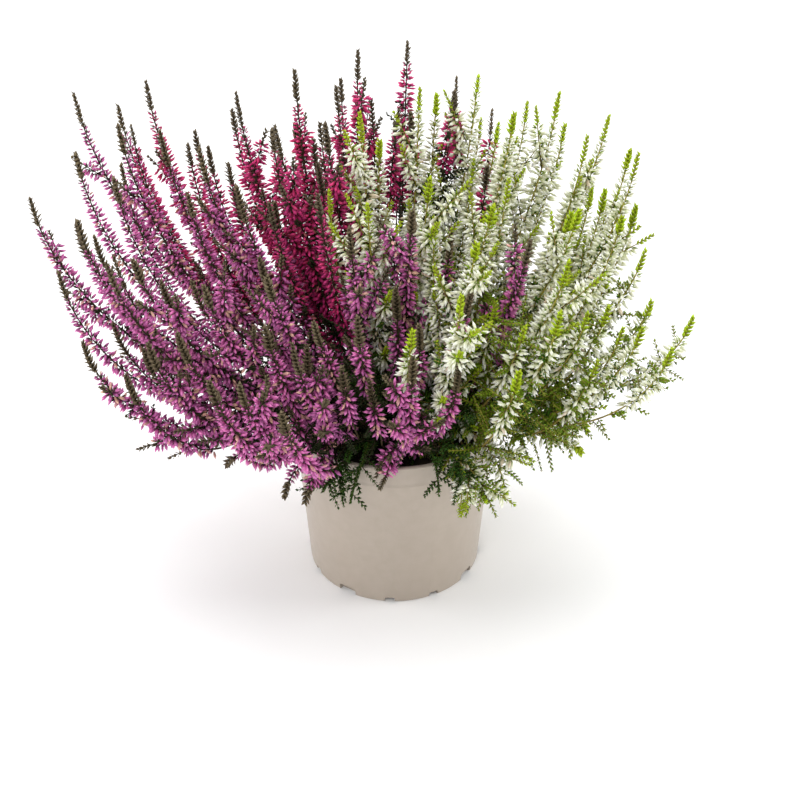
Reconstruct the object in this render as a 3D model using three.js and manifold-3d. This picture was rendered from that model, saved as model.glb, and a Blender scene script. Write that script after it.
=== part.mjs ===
// A potted heather: three heathers, mauve, crimson and white, in one plastic pot.
// Millimetres, +Z up, with the origin at the middle of the pot's underside. -Y is the front.
import * as THREE from "three";
import { mergeVertices } from "three/addons/utils/BufferGeometryUtils.js";
import Module from "manifold-3d";

// Pot
const POT_HEIGHT = 113;
const RIM_RADIUS = 65;
const RIM_BAND = 15;
const BAND_STEP = 1.4;
const LIP = 0.9;
const WALL_TOP_RADIUS = 62.2;
const FOOT_RADIUS = 55;
const FOOT_BEVEL = 3;
const WALL = 1.6;
const FLOOR = 2;
const POT_SEGMENTS = 30;
const NOTCHES = 12;
const FIRST_NOTCH_DEG = -3;
const SMALL_NOTCH = { width: 6.5, height: 3.8 };
const WIDE_NOTCH = { width: 12, height: 5.6 };
const WIDE_NOTCH_EVERY = 3;
const FIRST_WIDE_NOTCH = 2;

// Soil
const SOIL_EDGE = 99;
const SOIL_TOP = 102;
const SOIL_GAP = 0.5;
const SOIL_SEGMENTS = 15;
const HOLE_BOTTOM = 79.4;
const HOLE_CORNER = 2.4;

// Stems, measured from their middle to the corners of their four sides
const STEM_FOOT = 80;
const STEM_STRAIGHT_TO = 104;
const STEM_CORNER = 1.7;
const STEM_TOP_CORNER = 0.9;
const FORK_CORNER = 0.95;
const BASE_CIRCLE = 48;
const BASE_SPACING = 10;
const BASE_SPREAD = 0.6;
const WIDEST_REACH = 230;

// Stems spread outwards before they climb, the more so the further out and the lower their tips are
const OUTER_REACH = 200;
const STEM_BOW = 0.5;
const STEM_CLIMB = 0.8;
const LOW_CLIMB = 0.6;
const LOW_TIP = 200;
const HIGH_TIP = 250;
const STEM_LIFT = 16;
const LIFTED_AT = 0.14;
const SPREADS_FROM = 0.04;
const ARCH_RISE = 27;

// Side spikes: how far their tips are from the main one, with a part that varies
const SIDE_TURNS = [1, -1, 0.2];
const SIDE_ACROSS = { least: 20, varies: 12 };
const SIDE_DOWN = { least: 12, varies: 30 };
const SIDE_FORK = { least: 0.14, varies: 0.12 };
const SIDE_INWARDS = 24;
const THIRD_INWARDS = 36;
const SIDE_TURNS_AWAY = 2.2;
const TWIG_ACROSS = 17;
const TWIG_FORK = 0.4;

// How far florets and leaves stand out from the middle of the stem
const FLORET_REACH = 5.4;
const LEAF_REACH = 3;
const TIP_REACH = 1.6;
const FLORET_LIFT = 2.8;

// How many points a stem's middle line has
const LINE_POINTS = 14;
const STEP = 1 / (LINE_POINTS - 1);

// Kinds of spike: the corner of its foot, its bare rings, where along it the florets or leaves
// begin and end, and how many rings they have
const MAIN_SPIKE = {
  foot: STEM_CORNER,
  bare: [0, STEP, 2 * STEP, 0.3],
  from: 0.44,
  to: 0.9,
  whorls: 7,
  reach: FLORET_REACH,
};
const SIDE_SPIKE = { ...MAIN_SPIKE, foot: FORK_CORNER, bare: [0, 0.2], from: 0.4 };
const HANGING_SPIKE = { ...MAIN_SPIKE, to: 0.92, whorls: 5 };
const HANGING_SIDE = { ...SIDE_SPIKE, bare: [0], from: 0.35, whorls: 4 };
const MAIN_SHOOT = { foot: STEM_CORNER, bare: [0, STEP], from: 0.3, to: 0.9, whorls: 6, reach: LEAF_REACH };
const SIDE_SHOOT = { ...MAIN_SHOOT, foot: FORK_CORNER, bare: [0], to: 0.88, whorls: 3 };

// How stems are kept clear of each other and of the pot's rim
const CLEARANCE = 3.8;
const RIM_CLEARANCE = 3.5;
const BEND_ROUNDS = 140;
const BEND_STRENGTH = 0.42;
const BEND_EVENING = 0.2;
const BEND_HOMING = 0.03;
const SPREAD_ROUNDS = 300;
const SPREAD_STRENGTH = 0.4;

// Tips of the main spikes: x to the right, y to the back, z up
const TIPS = {
  mauve: [
    [-210, 5, 255], [-200, 110, 275], [-176, -32, 260], [-175, -62, 200], [-165, 60, 275],
    [-143, -56, 249], [-135, -80, 210], [-115, 40, 270], [-90, 0, 265], [-105, -60, 235],
    [-70, -60, 240], [-55, -95, 220], [-83, -110, 203], [-25, -40, 260], [10, -30, 265],
    [10, -94, 210], [75, -45, 255], [-20, -85, 230],
  ],
  crimson: [
    [-155, 115, 280], [-95, 75, 290], [-60, 85, 300], [-22, 92, 310], [8, 104, 310],
    [36, 76, 290], [-70, 40, 285], [-40, 30, 290], [-105, 140, 250], [-35, 155, 265],
    [40, 145, 270],
  ],
  white: [
    [-20, 35, 295], [15, 60, 300], [50, 75, 300], [70, 45, 290], [100, 85, 285],
    [130, 75, 275], [145, 45, 265], [-15, -30, 270], [20, -10, 275], [55, -25, 265],
    [105, -10, 255], [145, -10, 230], [175, -20, 190], [95, -60, 250], [45, -55, 258],
    [90, -80, 230], [140, -55, 205], [36, -82, 242], [85, 130, 260], [150, 110, 235],
  ],
};

// Tips of the sprays that arch over the rim and hang
const HANGING_MAUVE_TIPS = [[-65, -74, 99], [-101, -48, 103]];
const HANGING_WHITE_TIPS = [[66, -68, 96], [114, -34, 102]];

// Tips of the leafy shoots without flowers: upright ones in the plant, the others over the rim
const UPRIGHT_GREEN_TIPS = [[-14, -62, 168], [20, -64, 150]];
const ARCHING_GREEN_TIPS = [[-26, -81, 100], [26, -80, 107], [-5, 90, 106]];

// Two fractions whose multiples fall evenly between 0 and 1
const EVEN_FRACTION = 0.6180339887498949;
const OTHER_FRACTION = 0.7548776662466927;

const COLOURS = { mauve: 0xc75ab4, crimson: 0xb81e5c, white: 0xeeeedd, green: 0x3c5a28 };

const wasm = await Module();
wasm.setup();

// A closed geometry as a solid.
function solidOf(geometry) {
  const bare = geometry.clone();
  bare.deleteAttribute("normal");
  bare.deleteAttribute("uv");
  const merged = mergeVertices(bare, 1e-4);
  const mesh = new wasm.Mesh({
    numProp: 3,
    vertProperties: new Float32Array(merged.attributes.position.array),
    triVerts: new Uint32Array(merged.index.array),
  });
  return new wasm.Manifold(mesh);
}

function geometryOf(solid) {
  const mesh = solid.getMesh();
  const geometry = new THREE.BufferGeometry();
  geometry.setAttribute("position", new THREE.BufferAttribute(mesh.vertProperties, 3));
  geometry.setIndex(new THREE.BufferAttribute(mesh.triVerts, 1));
  geometry.computeVertexNormals();
  return geometry;
}

function part(name, solid, colour, roughness) {
  const material = new THREE.MeshStandardMaterial({ color: colour, roughness, metalness: 0 });
  const mesh = new THREE.Mesh(geometryOf(solid), material);
  mesh.name = name;
  return mesh;
}

// A solid of revolution about Z from [radius, height] points that start and end on the axis.
function turned(profile, segments) {
  const points = profile.map(([radius, height]) => new THREE.Vector2(radius, height));
  return solidOf(new THREE.LatheGeometry(points, segments).rotateX(Math.PI / 2));
}

// The radius of the pot's wall at a height, outside or, with WALL taken off, inside.
function wallRadius(height) {
  const share = (height - FOOT_BEVEL) / (POT_HEIGHT - RIM_BAND - FOOT_BEVEL);
  return FOOT_RADIUS + (WALL_TOP_RADIUS - FOOT_RADIUS) * share;
}

function potSolid() {
  const bandBottom = POT_HEIGHT - RIM_BAND;
  const bandRadius = WALL_TOP_RADIUS + BAND_STEP;
  const shell = turned(
    [
      [0, 0],
      [FOOT_RADIUS - FOOT_BEVEL, 0],
      [FOOT_RADIUS, FOOT_BEVEL],
      [WALL_TOP_RADIUS, bandBottom],
      [bandRadius + LIP / 2, bandBottom],
      [bandRadius, bandBottom + 2 * LIP],
      [RIM_RADIUS - LIP, POT_HEIGHT - 2 * LIP],
      [RIM_RADIUS, POT_HEIGHT - LIP],
      [RIM_RADIUS - LIP, POT_HEIGHT],
      [RIM_RADIUS - LIP - WALL, POT_HEIGHT],
      [wallRadius(bandBottom) - WALL, bandBottom],
      [wallRadius(FLOOR + WALL) - WALL, FLOOR + WALL],
      [wallRadius(FLOOR) - 2 * WALL, FLOOR],
      [0, FLOOR],
    ],
    POT_SEGMENTS,
  );
  let pot = shell;
  for (let notch = 0; notch < NOTCHES; notch++) {
    const wide = notch % WIDE_NOTCH_EVERY === FIRST_WIDE_NOTCH;
    const { width, height } = wide ? WIDE_NOTCH : SMALL_NOTCH;
    const depth = 2 * (FOOT_BEVEL + 1);
    const cutter = new THREE.BoxGeometry(width, depth, 2 * height);
    cutter.translate(0, -FOOT_RADIUS, 0);
    cutter.rotateZ(THREE.MathUtils.degToRad(FIRST_NOTCH_DEG + (360 / NOTCHES) * notch));
    pot = pot.subtract(solidOf(cutter));
  }
  return pot;
}

function soilSolid(places) {
  const clear = WALL + SOIL_GAP;
  let soil = turned(
    [
      [0, FLOOR + SOIL_GAP],
      [wallRadius(FLOOR) - clear - WALL, FLOOR + SOIL_GAP],
      [wallRadius(2 * FLOOR) - clear - SOIL_GAP, 2 * FLOOR],
      [wallRadius(SOIL_EDGE - RIM_BAND) - clear, SOIL_EDGE - RIM_BAND],
      [wallRadius(POT_HEIGHT - RIM_BAND) - clear, SOIL_EDGE],
      [BASE_CIRCLE, SOIL_TOP],
      [0, SOIL_TOP],
    ],
    SOIL_SEGMENTS,
  );
  places.forEach(([x, y]) => {
    const side = HOLE_CORNER * Math.SQRT2;
    const hole = new THREE.BoxGeometry(side, side, 2 * (SOIL_TOP - HOLE_BOTTOM));
    soil = soil.subtract(solidOf(hole.translate(x, y, SOIL_TOP)));
  });
  return soil;
}

// A number from 0 to 1 that differs evenly from spray to spray.
function variety(index, kind) {
  const value = 0.5 + index * EVEN_FRACTION + kind * OTHER_FRACTION;
  return value - Math.floor(value);
}

function mix(a, b, share) {
  return a.map((value, axis) => value + (b[axis] - value) * share);
}

function smooth(share) {
  const t = Math.min(1, Math.max(0, share));
  return t * t * (3 - 2 * t);
}

// Where each stem stands in the soil: under its tip's direction, spread until none is too near.
function standingPlaces(tips) {
  const places = tips.map(([x, y]) => {
    const reach = Math.hypot(x, y);
    const radius = BASE_CIRCLE * (reach / WIDEST_REACH) ** BASE_SPREAD;
    return [(radius * x) / reach, (radius * y) / reach];
  });
  for (let round = 0; round < SPREAD_ROUNDS; round++) {
    const moves = places.map(() => [0, 0]);
    for (let a = 0; a < places.length; a++)
      for (let b = 0; b < places.length; b++) {
        const dx = places[a][0] - places[b][0];
        const dy = places[a][1] - places[b][1];
        const far = Math.hypot(dx, dy);
        if (a === b || far >= BASE_SPACING) continue;
        const push = (SPREAD_STRENGTH * (BASE_SPACING - far)) / Math.max(far, 0.1);
        moves[a][0] += dx * push;
        moves[a][1] += dy * push;
      }
    places.forEach((place, a) => {
      place[0] += moves[a][0];
      place[1] += moves[a][1];
      const over = Math.max(1, Math.hypot(place[0], place[1]) / BASE_CIRCLE);
      place[0] /= over;
      place[1] /= over;
    });
  }
  return places;
}

// The middle line of a stem from its foot in the soil to its tip: outwards first, then upwards.
function stemLine([x, y], tip) {
  const outer = Math.min(1, Math.hypot(tip[0], tip[1]) / OUTER_REACH);
  const bow = 1 + STEM_BOW * outer;
  const low = smooth((HIGH_TIP - tip[2]) / (HIGH_TIP - LOW_TIP));
  const climb = 1 + (STEM_CLIMB + LOW_CLIMB * low) * outer;
  const line = [[x, y, STEM_FOOT], [x, y, STEM_STRAIGHT_TO]];
  for (let step = 1; step < LINE_POINTS - 1; step++) {
    const t = step / (LINE_POINTS - 2);
    const out = 1 - (1 - Math.max(0, t - SPREADS_FROM) / (1 - SPREADS_FROM)) ** bow;
    const lift = STEM_LIFT * smooth(t / LIFTED_AT) * (1 - t);
    const rise = lift + (tip[2] - STEM_STRAIGHT_TO) * t ** climb;
    line.push([x + (tip[0] - x) * out, y + (tip[1] - y) * out, STEM_STRAIGHT_TO + rise]);
  }
  return line;
}

// The middle line of a stem that arches over the rim and hangs a little.
function archLine([x, y], tip) {
  const reach = Math.hypot(tip[0], tip[1]);
  const out = [tip[0] / reach, tip[1] / reach];
  const curve = new THREE.CubicBezierCurve3(
    new THREE.Vector3(x, y, STEM_STRAIGHT_TO),
    new THREE.Vector3(x + 4 * out[0], y + 4 * out[1], STEM_STRAIGHT_TO + ARCH_RISE),
    new THREE.Vector3(tip[0] - 6 * out[0], tip[1] - 6 * out[1], tip[2] + ARCH_RISE),
    new THREE.Vector3(...tip),
  );
  const line = curve.getPoints(LINE_POINTS - 2).map((point) => point.toArray());
  return [[x, y, STEM_FOOT], ...line];
}

// A point on a line of points, 0 at its start and 1 at its end, by a Catmull-Rom curve.
function pointOn(line, share) {
  const place = Math.min(1, Math.max(0, share)) * (line.length - 1);
  const first = Math.min(line.length - 2, Math.floor(place + 1e-9));
  const t = place - first;
  const b = line[first];
  const c = line[first + 1];
  const a = line[first - 1] ?? mix(c, b, 2);
  const d = line[first + 2] ?? mix(b, c, 2);
  return b.map((value, axis) => {
    const start = 0.5 * (c[axis] - a[axis]);
    const finish = 0.5 * (d[axis] - value);
    const gap = c[axis] - value;
    const bend = (3 * gap - 2 * start - finish) * t * t + (start + finish - 2 * gap) * t ** 3;
    return value + start * t + bend;
  });
}

// Where the side spikes of a spray leave its main stem and where they end.
function sideSpikes(tip, index) {
  const reach = Math.hypot(tip[0], tip[1]);
  const out = [tip[0] / reach, tip[1] / reach];
  const count = reach > 180 ? 3 : reach > 75 ? 2 : 1;
  const room = Math.min(1, ((tip[2] - SOIL_TOP) / 150) ** 2);
  const sides = [];
  for (let side = 0; side < count; side++) {
    const across = SIDE_TURNS[side] * (SIDE_ACROSS.least + SIDE_ACROSS.varies * variety(index, side + 1));
    const varies = reach > 140 ? 14 : 24;
    const outwards = side === 2 ? -THIRD_INWARDS : -SIDE_INWARDS + varies * variety(index, side + 4);
    const down = room * (SIDE_DOWN.least + SIDE_DOWN.varies * variety(index, side + 7));
    sides.push({
      fork: SIDE_FORK.least + SIDE_FORK.varies * variety(index, side + 10),
      tip: [
        tip[0] + out[0] * outwards - out[1] * across,
        tip[1] + out[1] * outwards + out[0] * across,
        tip[2] - down,
      ],
    });
  }
  return sides;
}

// A side spike's line follows its main stem at first and turns away to its own tip.
function sideLine(mainLine, fork, tip) {
  const line = [];
  const end = mainLine[mainLine.length - 1];
  for (let step = 0; step < LINE_POINTS; step++) {
    const t = step / (LINE_POINTS - 1);
    const along = pointOn(mainLine, fork + (1 - fork) * t);
    const away = 1 - (1 - t) ** SIDE_TURNS_AWAY;
    line.push(along.map((value, axis) => value + (tip[axis] - end[axis]) * away));
  }
  return line;
}

// Gives each point of a spike's line the distance that its florets or leaves stand out there.
function addReaches(spike) {
  const { bare, from, to, reach } = spike.kind;
  spike.reaches = spike.line.map((_, index) => {
    const share = index / (LINE_POINTS - 1);
    if (share < from - 0.06 && bare.length) return STEM_CORNER;
    return share < to ? reach : TIP_REACH;
  });
}

// Bends spikes that would cross each other clear, and keeps them above the rim.
function bendClear(spikes) {
  const rests = spikes.map((spike) => spike.line.map((point) => [...point]));
  for (let round = 0; round < BEND_ROUNDS; round++) {
    const moves = spikes.map((spike) => spike.line.map(() => [0, 0, 0]));
    for (let a = 0; a < spikes.length; a++)
      for (let b = a + 1; b < spikes.length; b++) pushApart(spikes[a], spikes[b], moves[a], moves[b]);
    const homing = BEND_HOMING * (1 - round / BEND_ROUNDS);
    spikes.forEach((spike, index) => settle(spike, moves[index], rests[index], homing));
    followMains(spikes);
  }
}

// Adds to the moves of two spikes what takes their near points apart.
function pushApart(one, other, oneMoves, otherMoves) {
  const same = one.spray === other.spray;
  const firstOfOne = same ? one.freeFrom : 2;
  const firstOfOther = same ? other.freeFrom : 2;
  for (let i = firstOfOne; i < LINE_POINTS; i++) {
    const [x, y, z] = one.line[i];
    for (let j = firstOfOther; j < LINE_POINTS; j++) {
      const need = one.reaches[i] + other.reaches[j] + CLEARANCE;
      const dx = x - other.line[j][0];
      if (dx > need || dx < -need) continue;
      const dy = y - other.line[j][1];
      const dz = z - other.line[j][2];
      const far = Math.sqrt(dx * dx + dy * dy + dz * dz);
      if (far >= need) continue;
      const strength = (BEND_STRENGTH * (need - far)) / Math.max(far, 0.5);
      oneMoves[i][0] += dx * strength;
      oneMoves[i][1] += dy * strength;
      oneMoves[i][2] += dz * strength;
      otherMoves[j][0] -= dx * strength;
      otherMoves[j][1] -= dy * strength;
      otherMoves[j][2] -= dz * strength;
    }
  }
}

// Moves a spike's points, evens its line and draws it back a little towards its first place.
function settle(spike, moves, rest, homing) {
  const { line } = spike;
  const fixed = spike.fork === undefined ? 2 : 1;
  for (let i = fixed; i < LINE_POINTS; i++) {
    const free = Math.min(1, (i - fixed + 1) / 3);
    for (let axis = 0; axis < 3; axis++) {
      line[i][axis] += free * moves[i][axis] + homing * (rest[i][axis] - line[i][axis]);
    }
  }
  const before = line.map((point) => [...point]);
  for (let i = fixed; i < LINE_POINTS; i++) {
    if (i < LINE_POINTS - 1) {
      for (let axis = 0; axis < 3; axis++) {
        line[i][axis] += BEND_EVENING * (bendAt(before, i, axis) - bendAt(rest, i, axis));
      }
    }
    liftOverRim(line[i], spike.reaches[i]);
  }
}

// How far the middle between a point's neighbours is from the point.
function bendAt(line, i, axis) {
  return (line[i - 1][axis] + line[i + 1][axis]) / 2 - line[i][axis];
}

// Lifts a point that would touch the pot's rim or its wall.
function liftOverRim(point, reach) {
  const away = Math.abs(Math.hypot(point[0], point[1]) - RIM_RADIUS + WALL);
  const lowest = POT_HEIGHT + reach + RIM_CLEARANCE - 1.5 * Math.max(0, away - 7);
  if (away < 20 && point[2] < lowest) point[2] = lowest;
}

// A point of a spike's own middle line, which runs straight between its rings.
function pointBetweenRings({ line, kind }, share) {
  const shares = ringsOf(kind).map((ring) => ring.share);
  const next = shares.findIndex((value) => value > share);
  const start = pointOn(line, shares[next - 1]);
  const end = pointOn(line, shares[next]);
  return mix(start, end, (share - shares[next - 1]) / (shares[next] - shares[next - 1]));
}

// Keeps the foot of each side spike on its main stem.
function followMains(spikes) {
  spikes.forEach((spike) => {
    if (spike.fork === undefined) return;
    const foot = pointBetweenRings(spike.main, spike.fork);
    const shift = foot.map((value, axis) => value - spike.line[0][axis]);
    for (let i = 0; i < 4; i++) {
      const share = 1 - i / 4;
      for (let axis = 0; axis < 3; axis++) spike.line[i][axis] += share * shift[axis];
    }
  });
}

// A spray is a main spike with its side spikes.
function growSpray(name, colour, line, tip, index) {
  const main = { spray: name, colour, line, kind: MAIN_SPIKE, freeFrom: 6 };
  const sides = sideSpikes(tip, index).map(({ fork, tip: sideTip }) => {
    const own = sideLine(line, fork, sideTip);
    return { spray: name, colour, line: own, kind: SIDE_SPIKE, freeFrom: 3, fork, main };
  });
  return [main, ...sides];
}

// A leafy shoot, or a spray that hangs over the rim, has one side twig, to its left or right.
function growShoot(name, colour, line, tip, index) {
  const [kind, sideKind] = colour === "green" ? [MAIN_SHOOT, SIDE_SHOOT] : [HANGING_SPIKE, HANGING_SIDE];
  const main = { spray: name, colour, line, kind, freeFrom: 8 };
  const across = (index % 2 ? TWIG_ACROSS : -TWIG_ACROSS) / Math.hypot(tip[0], tip[1]);
  const twigTip = [tip[0] + across * tip[1], tip[1] - across * tip[0], tip[2] + 4];
  const twig = {
    spray: name,
    colour,
    line: sideLine(line, TWIG_FORK, twigTip),
    kind: sideKind,
    freeFrom: 5,
    fork: TWIG_FORK,
    main,
  };
  return [main, twig];
}

// Every stem that stands in the soil: its name, colour and tip, and whether it arches over the rim.
function rootedStems() {
  const groups = [
    { colour: "mauve", upright: TIPS.mauve, arching: HANGING_MAUVE_TIPS },
    { colour: "crimson", upright: TIPS.crimson, arching: [] },
    { colour: "white", upright: TIPS.white, arching: HANGING_WHITE_TIPS },
    { colour: "green", upright: UPRIGHT_GREEN_TIPS, arching: ARCHING_GREEN_TIPS },
  ];
  return groups.flatMap(({ colour, upright, arching }) =>
    [...upright, ...arching].map((tip, index) => ({
      name: `${colour}_${colour === "green" ? "shoot" : "spray"}_${String(index + 1).padStart(2, "0")}`,
      colour,
      tip,
      arching: index >= upright.length,
    })),
  );
}

function growSpikes(stems, places) {
  const spikes = stems.flatMap(({ name, colour, tip, arching }, index) => {
    const line = arching ? archLine(places[index], tip) : stemLine(places[index], tip);
    const grow = arching || colour === "green" ? growShoot : growSpray;
    return grow(name, colour, line, tip, index);
  });
  spikes.forEach(addReaches);
  bendClear(spikes);
  return spikes;
}

// Directions along and across a line of points, with the cross direction carried without twist.
function framesOn(points) {
  const along = points.map((point, index) => {
    const before = points[Math.max(0, index - 1)];
    const after = points[Math.min(points.length - 1, index + 1)];
    return new THREE.Vector3(...after).sub(new THREE.Vector3(...before)).normalize();
  });
  let across = Math.abs(along[0].x) < 0.9 ? new THREE.Vector3(1, 0, 0) : new THREE.Vector3(0, 1, 0);
  return along.map((direction) => {
    across = across.clone().addScaledVector(direction, -across.dot(direction)).normalize();
    return { along: direction, across, other: direction.clone().cross(across) };
  });
}

// The rings of a spike: bare stem, then whorls of florets or leaves, then the leafy tip.
function ringsOf({ foot, bare, from, to, whorls, reach }) {
  const rings = bare.map((share) => {
    const corner = foot + (STEM_TOP_CORNER - foot) * share;
    return { share, reach: corner, core: corner, lift: 0 };
  });
  for (let whorl = 0; whorl < whorls; whorl++) {
    const along = whorl / (whorls - 1);
    rings.push({
      share: from + (to - from) * along,
      reach: reach * (1 - 0.45 * along ** 3),
      core: 1.4 - 0.5 * along,
      lift: FLORET_LIFT * (1.6 * along - 0.6),
    });
  }
  rings.push({ share: (to + 1) / 2, reach: TIP_REACH, core: 0.8, lift: 1 });
  return rings;
}

// A four-sided stem along a line. In each ring every second corner stands out as a floret or a
// leaf, and in the next ring the others. The faces fold inwards between them and end in a point.
function spikeSolid({ line, kind }) {
  const rings = ringsOf(kind);
  const middles = rings.map((ring) => pointOn(line, ring.share));
  const end = line[line.length - 1];
  const frames = framesOn([...middles, end]);
  const positions = rings.flatMap((ring, place) =>
    [0, 1, 2, 3].flatMap((corner) => cornerAt(middles[place], frames[place], ring, corner, place)),
  );
  positions.push(...end);
  const faces = [0, 2, 1, 0, 3, 2];
  for (let place = 0; place < rings.length - 1; place++) {
    for (let corner = 0; corner < 4; corner++) {
      const a = place * 4 + corner;
      const b = place * 4 + ((corner + 1) % 4);
      const c = b + 4;
      const d = a + 4;
      if ((place + corner) % 2 === 0) faces.push(a, b, d, b, c, d);
      else faces.push(a, b, c, a, c, d);
    }
  }
  const last = (rings.length - 1) * 4;
  for (let corner = 0; corner < 4; corner++) {
    faces.push(last + corner, last + ((corner + 1) % 4), last + 4);
  }
  const geometry = new THREE.BufferGeometry();
  geometry.setAttribute("position", new THREE.BufferAttribute(new Float32Array(positions), 3));
  geometry.setIndex(faces);
  return solidOf(geometry);
}

function cornerAt(middle, { along, across, other }, ring, corner, place) {
  const angle = (corner * Math.PI) / 2 + Math.PI / 4;
  const standsOut = (place + corner) % 2 === 0;
  const radius = standsOut ? ring.reach : ring.core;
  return new THREE.Vector3(...middle)
    .addScaledVector(across, radius * Math.cos(angle))
    .addScaledVector(other, radius * Math.sin(angle))
    .addScaledVector(along, standsOut ? ring.lift : 0)
    .toArray();
}

const stems = rootedStems();
const places = standingPlaces(stems.map(({ tip }) => tip));
const spikes = growSpikes(stems, places);

const plant = new THREE.Group();
plant.add(part("pot", potSolid(), 0xbaae9e, 0.5));
plant.add(part("soil", soilSolid(places), 0x2e231b, 0.95));
stems.forEach(({ name, colour }) => {
  const solids = spikes.filter((spike) => spike.spray === name).map(spikeSolid);
  const spray = solids.reduce((joined, solid) => joined.add(solid));
  plant.add(part(name, spray, COLOURS[colour], 0.8));
});

export default plant;
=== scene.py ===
"""A potted heather: fine stems, leaves and florets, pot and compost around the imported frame.

The plant grows by the same rule as its solids: each stem stands in the compost, leads to its tip
and is bent clear of its neighbours. Lengths of the plant and the pot are in millimetres here and
become metres as each mesh is made. +X is to the right, +Y to the back, +Z up.
"""
import math

import bpy
import numpy as np
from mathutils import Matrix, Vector, noise


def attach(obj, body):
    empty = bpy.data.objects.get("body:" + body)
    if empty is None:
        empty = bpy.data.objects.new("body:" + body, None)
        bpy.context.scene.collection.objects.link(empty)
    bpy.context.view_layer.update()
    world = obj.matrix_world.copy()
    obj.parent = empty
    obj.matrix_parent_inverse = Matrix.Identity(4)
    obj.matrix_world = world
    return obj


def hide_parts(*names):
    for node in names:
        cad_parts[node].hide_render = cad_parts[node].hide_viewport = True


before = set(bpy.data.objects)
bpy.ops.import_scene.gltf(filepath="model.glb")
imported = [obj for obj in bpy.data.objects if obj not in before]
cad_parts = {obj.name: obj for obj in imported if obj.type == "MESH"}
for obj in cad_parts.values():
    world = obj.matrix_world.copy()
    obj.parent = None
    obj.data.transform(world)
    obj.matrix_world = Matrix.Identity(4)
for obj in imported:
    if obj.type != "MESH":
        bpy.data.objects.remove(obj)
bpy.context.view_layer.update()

MM = 0.001
SEED = 20

# Pot
POT_HEIGHT = 113.0
RIM_RADIUS = 65.0
RIM_BAND = 15.0
BAND_STEP = 1.4
LIP = 0.9
WALL_TOP_RADIUS = 62.2
FOOT_RADIUS = 55.0
FOOT_BEVEL = 3.0
FOOT_ROUND = 1.0
SHARP_ANGLE = math.radians(32)
WALL = 1.6
FLOOR = 2.0
POT_SEGMENTS = 120
NOTCHES = 12
FIRST_NOTCH_DEG = -3.0
SMALL_NOTCH = (6.5, 3.8)
WIDE_NOTCH = (12.0, 5.6)
WIDE_NOTCH_EVERY = 3
FIRST_WIDE_NOTCH = 2

# Soil
SOIL_EDGE = 99.0
SOIL_TOP = 102.0
SOIL_GAP = 0.5

# Stems
STEM_FOOT = 80.0
STEM_STRAIGHT_TO = 104.0
STEM_CORNER = 1.7
BASE_CIRCLE = 48.0
BASE_SPACING = 10.0
BASE_SPREAD = 0.6
WIDEST_REACH = 230.0
OUTER_REACH = 200.0
STEM_BOW = 0.5
STEM_CLIMB = 0.8
LOW_CLIMB = 0.6
LOW_TIP = 200.0
HIGH_TIP = 250.0
STEM_LIFT = 16.0
LIFTED_AT = 0.14
SPREADS_FROM = 0.04
ARCH_RISE = 27.0
ARCH_OUT = (4.0, 6.0)

# Side spikes: how many a spray has by how far out its tip is, and how far their tips are from the
# main one, the least and the part that varies
THREE_SIDES_BEYOND = 180
TWO_SIDES_BEYOND = 75
SIDE_TURNS = (1.0, -1.0, 0.2)
SIDE_ACROSS = (20.0, 12.0)
SIDE_DOWN = (12.0, 30.0)
SIDE_FORK = (0.14, 0.12)
SIDE_INWARDS = 24.0
INWARDS_VARIES = 24
FAR_INWARDS_VARIES = 14
FAR_REACH = 140
THIRD_INWARDS = 36.0
FULL_DROP_HEIGHT = 150
SIDE_TURNS_AWAY = 2.2
TWIG_ACROSS = 17.0
TWIG_FORK = 0.4
TWIG_HIGHER = 4

# How stems are kept clear of each other and of the pot's rim
LINE_POINTS = 14
STEP = 1 / (LINE_POINTS - 1)
FLORET_REACH = 5.4
LEAF_REACH = 3.0
TIP_REACH = 1.6
CLEARANCE = 3.8
RIM_CLEARANCE = 3.5
RIM_ZONE = 20
RIM_FLAT = 7
RIM_SLOPE = 1.5
BARE_BEFORE = 0.06
BEND_ROUNDS = 140
BEND_STRENGTH = 0.42
BEND_EVENING = 0.2
BEND_HOMING = 0.03
SPREAD_ROUNDS = 300
SPREAD_STRENGTH = 0.4
NEIGHBOUR_MARGIN = 12.0

# Two fractions whose multiples fall evenly between 0 and 1
EVEN_FRACTION = 0.6180339887498949
OTHER_FRACTION = 0.7548776662466927

# Tips of the main spikes: x to the right, y to the back, z up
UPRIGHT_TIPS = {
    "mauve": [
        (-210, 5, 255), (-200, 110, 275), (-176, -32, 260), (-175, -62, 200), (-165, 60, 275),
        (-143, -56, 249), (-135, -80, 210), (-115, 40, 270), (-90, 0, 265), (-105, -60, 235),
        (-70, -60, 240), (-55, -95, 220), (-83, -110, 203), (-25, -40, 260), (10, -30, 265),
        (10, -94, 210), (75, -45, 255), (-20, -85, 230),
    ],
    "crimson": [
        (-155, 115, 280), (-95, 75, 290), (-60, 85, 300), (-22, 92, 310), (8, 104, 310),
        (36, 76, 290), (-70, 40, 285), (-40, 30, 290), (-105, 140, 250), (-35, 155, 265),
        (40, 145, 270),
    ],
    "white": [
        (-20, 35, 295), (15, 60, 300), (50, 75, 300), (70, 45, 290), (100, 85, 285),
        (130, 75, 275), (145, 45, 265), (-15, -30, 270), (20, -10, 275), (55, -25, 265),
        (105, -10, 255), (145, -10, 230), (175, -20, 190), (95, -60, 250), (45, -55, 258),
        (90, -80, 230), (140, -55, 205), (36, -82, 242), (85, 130, 260), (150, 110, 235),
    ],
    "green": [(-14, -62, 168), (20, -64, 150)],
}
ARCHING_TIPS = {
    "mauve": [(-65, -74, 99), (-101, -48, 103)],
    "crimson": [],
    "white": [(66, -68, 96), (114, -34, 102)],
    "green": [(-26, -81, 100), (26, -80, 107), (-5, 90, 106)],
}


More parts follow.
